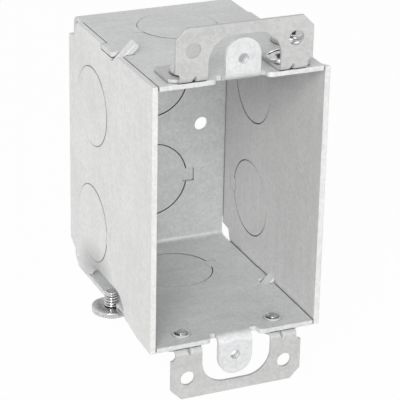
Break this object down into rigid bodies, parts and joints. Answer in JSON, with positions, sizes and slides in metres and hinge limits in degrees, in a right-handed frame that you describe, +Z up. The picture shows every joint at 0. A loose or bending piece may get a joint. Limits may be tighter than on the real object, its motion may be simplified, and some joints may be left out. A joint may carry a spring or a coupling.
{
  "type": "switch box",
  "caption": "Galvanised steel switch box for one wiring device, with removable side plates, knockouts, tapped device tabs and adjustable plaster ears.",
  "frame": {"origin": "middle of the opening, in the plane of the box's front edges and of the device tabs' faces", "axes": "+X to the right seen from the front, +Y into the box towards its back, +Z up along the height"},
  "size_m": [0.058, 0.0628, 0.1032],
  "materials": {
    "box_steel": "galvanised, matt with a faint mottle",
    "ear_steel": "galvanised, matt",
    "screw_steel": "bright zinc plate"
  },
  "bodies": {
    "box": {"body": "box_steel", "left_side": "box_steel", "right_side": "box_steel", "upper_ear_screw_left": "screw_steel", "upper_ear_screw_right": "screw_steel", "lower_ear_screw_left": "screw_steel", "lower_ear_screw_right": "screw_steel", "upper_gang_screw": "screw_steel", "lower_gang_screw": "screw_steel"},
    "upper_ear": {"upper_ear": "ear_steel"},
    "lower_ear": {"lower_ear": "ear_steel"}
  },
  "joints": [
    {"name": "upper_ear_slide", "type": "slide", "parent": "box", "child": "upper_ear", "axis": [0, -1, 0], "range_m": [-0.0004, 0.002]},
    {"name": "lower_ear_slide", "type": "slide", "parent": "box", "child": "lower_ear", "axis": [0, -1, 0], "range_m": [-0.0004, 0.002]}
  ]
}
